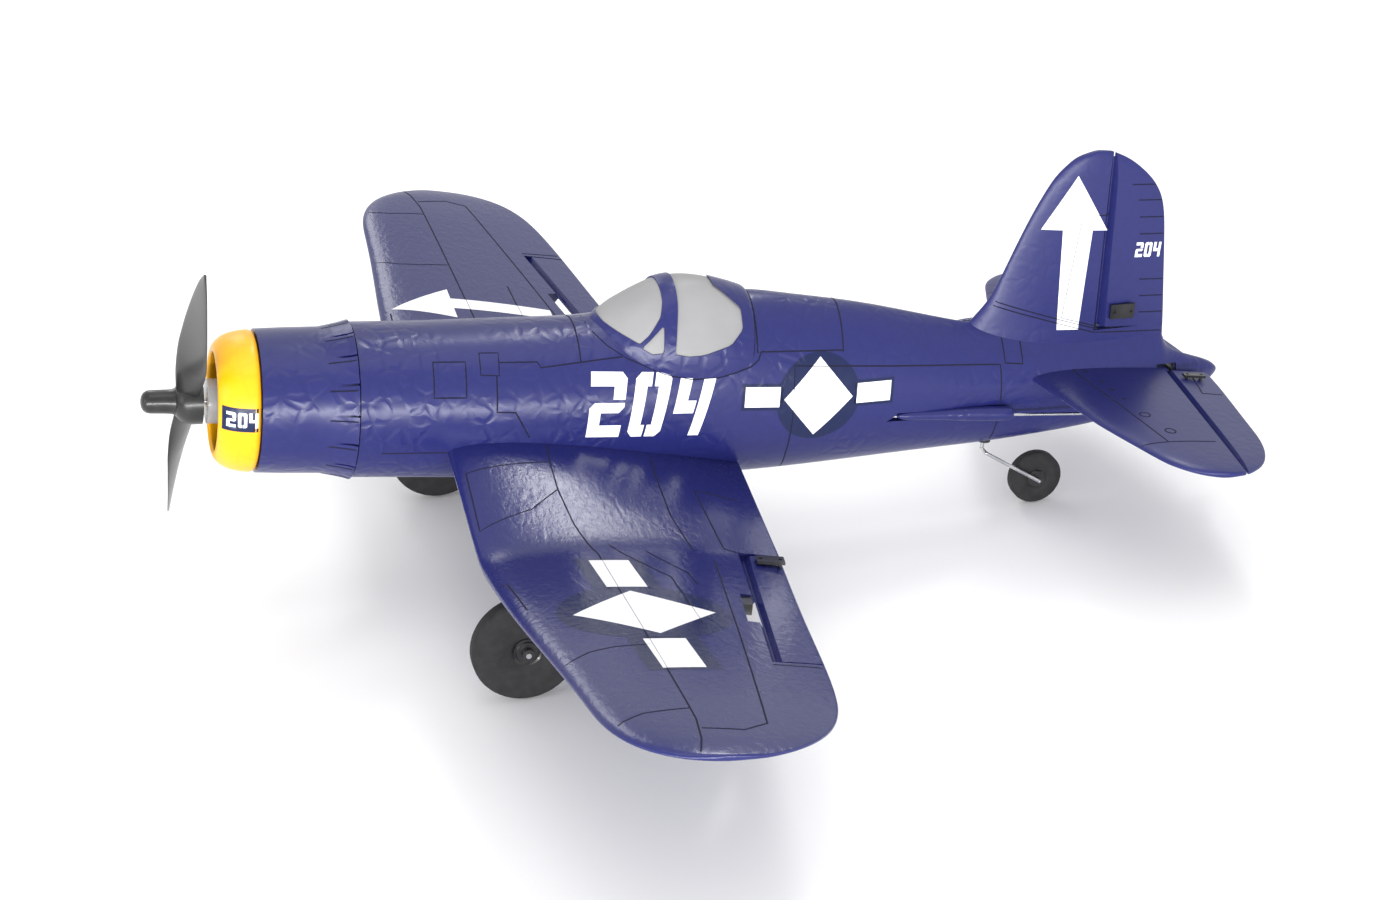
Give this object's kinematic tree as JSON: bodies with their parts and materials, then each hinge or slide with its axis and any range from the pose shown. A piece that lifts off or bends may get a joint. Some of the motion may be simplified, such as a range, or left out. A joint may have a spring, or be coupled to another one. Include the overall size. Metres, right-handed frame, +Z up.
{
  "type": "radio-controlled foam warbird plane",
  "caption": "Small foam radio-controlled fighter plane with an inverted gull wing, geared electric propeller, working control surfaces and fixed tail-dragger wheels.",
  "frame": {"origin": "on the ground under the middle of the plane's outer box, with the plane standing on its three wheels", "axes": "+Z up, +X towards the tail along the level ground, +Y to starboard; the fuselage is pitched nose-up 7.84 degrees"},
  "size_m": [0.337, 0.4, 0.1278],
  "materials": {
    "blue_foam": "satin",
    "yellow_foam": "satin",
    "grey_glazing": "gloss",
    "steel": "polished",
    "carbon": "satin",
    "black_plastic": "satin",
    "servo_case": "satin",
    "white_nylon": "satin",
    "plywood": "matt",
    "circuit_board": "satin",
    "battery_wrap": "satin",
    "clear_plastic": "satin",
    "brass": "machined",
    "black_foam": "matt"
  },
  "bodies": {
    "airframe": {"fuselage": "blue_foam", "cowl": "blue_foam", "nose_ring": "yellow_foam", "canopy": "blue_foam", "glazing": "grey_glazing", "hatch_magnets": "steel", "wing": "blue_foam", "wing_spars": "carbon", "fin": "blue_foam", "stabilizer": "blue_foam", "hinge_blocks": "black_plastic", "aileron_servos": "servo_case", "elevator_servo": "servo_case", "rudder_servo": "servo_case", "rod_fairings": "blue_foam", "servo_tray": "plywood", "receiver_board": "circuit_board", "battery": "battery_wrap", "bulkhead": "clear_plastic", "gearbox_frame": "clear_plastic", "gearbox_screws": "steel", "shaft_bushes": "brass", "motor": "steel", "gear_sockets": "black_plastic", "gear_leg_port": "steel", "gear_leg_starboard": "steel", "axle_collars": "black_plastic", "tail_socket": "black_plastic", "tail_leg": "steel"},
    "port_aileron": {"aileron_port": "blue_foam", "aileron_horn_port": "black_plastic"},
    "starboard_aileron": {"aileron_starboard": "blue_foam", "aileron_horn_starboard": "black_plastic"},
    "port_aileron_arm": {"aileron_arm_port": "white_nylon"},
    "starboard_aileron_arm": {"aileron_arm_starboard": "white_nylon"},
    "port_aileron_rod": {"aileron_rod_port": "steel"},
    "starboard_aileron_rod": {"aileron_rod_starboard": "steel"},
    "elevator": {"elevator_port": "blue_foam", "elevator_horn": "black_plastic", "elevator_joiner": "black_plastic"},
    "starboard_elevator": {"elevator_starboard": "blue_foam"},
    "elevator_arm": {"elevator_arm": "white_nylon"},
    "elevator_rod": {"elevator_rod": "steel"},
    "rudder": {"rudder": "blue_foam", "rudder_horn": "black_plastic"},
    "rudder_arm": {"rudder_arm": "white_nylon"},
    "rudder_rod": {"rudder_rod": "steel"},
    "propeller": {"propeller": "black_plastic", "spinner": "black_plastic", "prop_shaft": "steel", "spur_gear": "white_nylon"},
    "pinion": {"pinion": "brass"},
    "port_wheel": {"wheel_port": "black_foam", "wheel_hub_port": "black_plastic"},
    "starboard_wheel": {"wheel_starboard": "black_foam", "wheel_hub_starboard": "black_plastic"},
    "tail_wheel": {"tail_wheel": "black_foam", "tail_wheel_hub": "black_plastic"},
    "battery_hatch": {"battery_hatch": "blue_foam"}
  },
  "joints": [
    {"name": "port_aileron", "type": "hinge", "parent": "airframe", "child": "port_aileron", "pos_m": [-0.01059, -0.0685, 0.03243], "axis": [0.1788, 0.9721, -0.1522], "range_deg": [-22, 22]},
    {"name": "starboard_aileron", "type": "hinge", "parent": "airframe", "child": "starboard_aileron", "pos_m": [-0.01059, 0.0685, 0.03243], "axis": [-0.1788, 0.9721, 0.1522], "range_deg": [-22, 22]},
    {"name": "port_aileron_servo", "type": "hinge", "parent": "airframe", "child": "port_aileron_arm", "pos_m": [-0.03558, -0.0674, 0.03638], "axis": [0.1788, 0.9721, -0.1522], "range_deg": [-22, 22]},
    {"name": "port_aileron_rod", "type": "hinge", "parent": "port_aileron", "child": "port_aileron_rod", "pos_m": [-0.01259, -0.07338, 0.0252], "axis": [0.1788, 0.9721, -0.1522], "range_deg": [-22, 22]},
    {"name": "starboard_aileron_servo", "type": "hinge", "parent": "airframe", "child": "starboard_aileron_arm", "pos_m": [-0.03558, 0.0674, 0.03638], "axis": [-0.1788, 0.9721, 0.1522], "range_deg": [-22, 22]},
    {"name": "starboard_aileron_rod", "type": "hinge", "parent": "starboard_aileron", "child": "starboard_aileron_rod", "pos_m": [-0.01259, 0.07338, 0.0252], "axis": [-0.1788, 0.9721, 0.1522], "range_deg": [-22, 22]},
    {"name": "elevator", "type": "hinge", "parent": "airframe", "child": "elevator", "pos_m": [0.14847, -0.005, 0.04102], "axis": [0.1239, 0.9922, -0.0171], "range_deg": [-20, 20]},
    {"name": "starboard_elevator", "type": "hinge", "parent": "airframe", "child": "starboard_elevator", "pos_m": [0.14847, 0.005, 0.04102], "axis": [-0.1239, 0.9922, 0.0171], "range_deg": [-20, 20]},
    {"name": "elevator_servo", "type": "hinge", "parent": "airframe", "child": "elevator_arm", "pos_m": [-0.0246, -0.0126, 0.06485], "axis": [0, 1, 0], "range_deg": [-20, 20]},
    {"name": "elevator_rod", "type": "hinge", "parent": "elevator", "child": "elevator_rod", "pos_m": [0.14616, -0.0126, 0.03125], "axis": [0.1239, 0.9922, -0.0171], "range_deg": [-20, 20]},
    {"name": "rudder", "type": "hinge", "parent": "airframe", "child": "rudder", "pos_m": [0.12596, 0, 0.05715], "axis": [0.0658, 0, 0.9978], "range_deg": [-22, 22]},
    {"name": "rudder_servo", "type": "hinge", "parent": "airframe", "child": "rudder_arm", "pos_m": [0.00265, 0, 0.05744], "axis": [0.0658, 0, 0.9978], "range_deg": [-22, 22]},
    {"name": "rudder_rod", "type": "hinge", "parent": "rudder", "child": "rudder_rod", "pos_m": [0.12639, 0.01, 0.06375], "axis": [0.0658, 0, 0.9978], "range_deg": [-22, 22]},
    {"name": "propeller_spin", "type": "hinge", "parent": "airframe", "child": "propeller", "pos_m": [-0.13664, 0, 0.07221], "axis": [0.9907, 0, -0.1364], "continuous": true},
    {"name": "motor_spin", "type": "hinge", "parent": "airframe", "child": "pinion", "pos_m": [-0.13812, 0, 0.06151], "axis": [0.9907, 0, -0.1364], "continuous": true},
    {"name": "port_wheel_spin", "type": "hinge", "parent": "airframe", "child": "port_wheel", "pos_m": [-0.0745, -0.0666, 0.0155], "axis": [0, 1, 0], "continuous": true},
    {"name": "starboard_wheel_spin", "type": "hinge", "parent": "airframe", "child": "starboard_wheel", "pos_m": [-0.0745, 0.0666, 0.0155], "axis": [0, 1, 0], "continuous": true},
    {"name": "tail_wheel_spin", "type": "hinge", "parent": "airframe", "child": "tail_wheel", "pos_m": [0.10676, 0, 0.0086], "axis": [0, 1, 0], "continuous": true},
    {"name": "hatch_lift", "type": "slide", "parent": "airframe", "child": "battery_hatch", "axis": [-0.1364, 0, -0.9907], "range_m": [0, 0.02]}
  ],
  "couplings": [
    {"joint": "starboard_aileron", "follows": "port_aileron", "ratio": -1},
    {"joint": "port_aileron_servo", "follows": "port_aileron", "ratio": 1},
    {"joint": "port_aileron_rod", "follows": "port_aileron", "ratio": -1},
    {"joint": "starboard_aileron_servo", "follows": "port_aileron", "ratio": -1},
    {"joint": "starboard_aileron_rod", "follows": "port_aileron", "ratio": 1},
    {"joint": "starboard_elevator", "follows": "elevator", "ratio": 1},
    {"joint": "elevator_servo", "follows": "elevator", "ratio": 1},
    {"joint": "elevator_rod", "follows": "elevator", "ratio": -1},
    {"joint": "rudder_servo", "follows": "rudder", "ratio": 1},
    {"joint": "rudder_rod", "follows": "rudder", "ratio": -1},
    {"joint": "motor_spin", "follows": "propeller_spin", "ratio": -5}
  ]
}
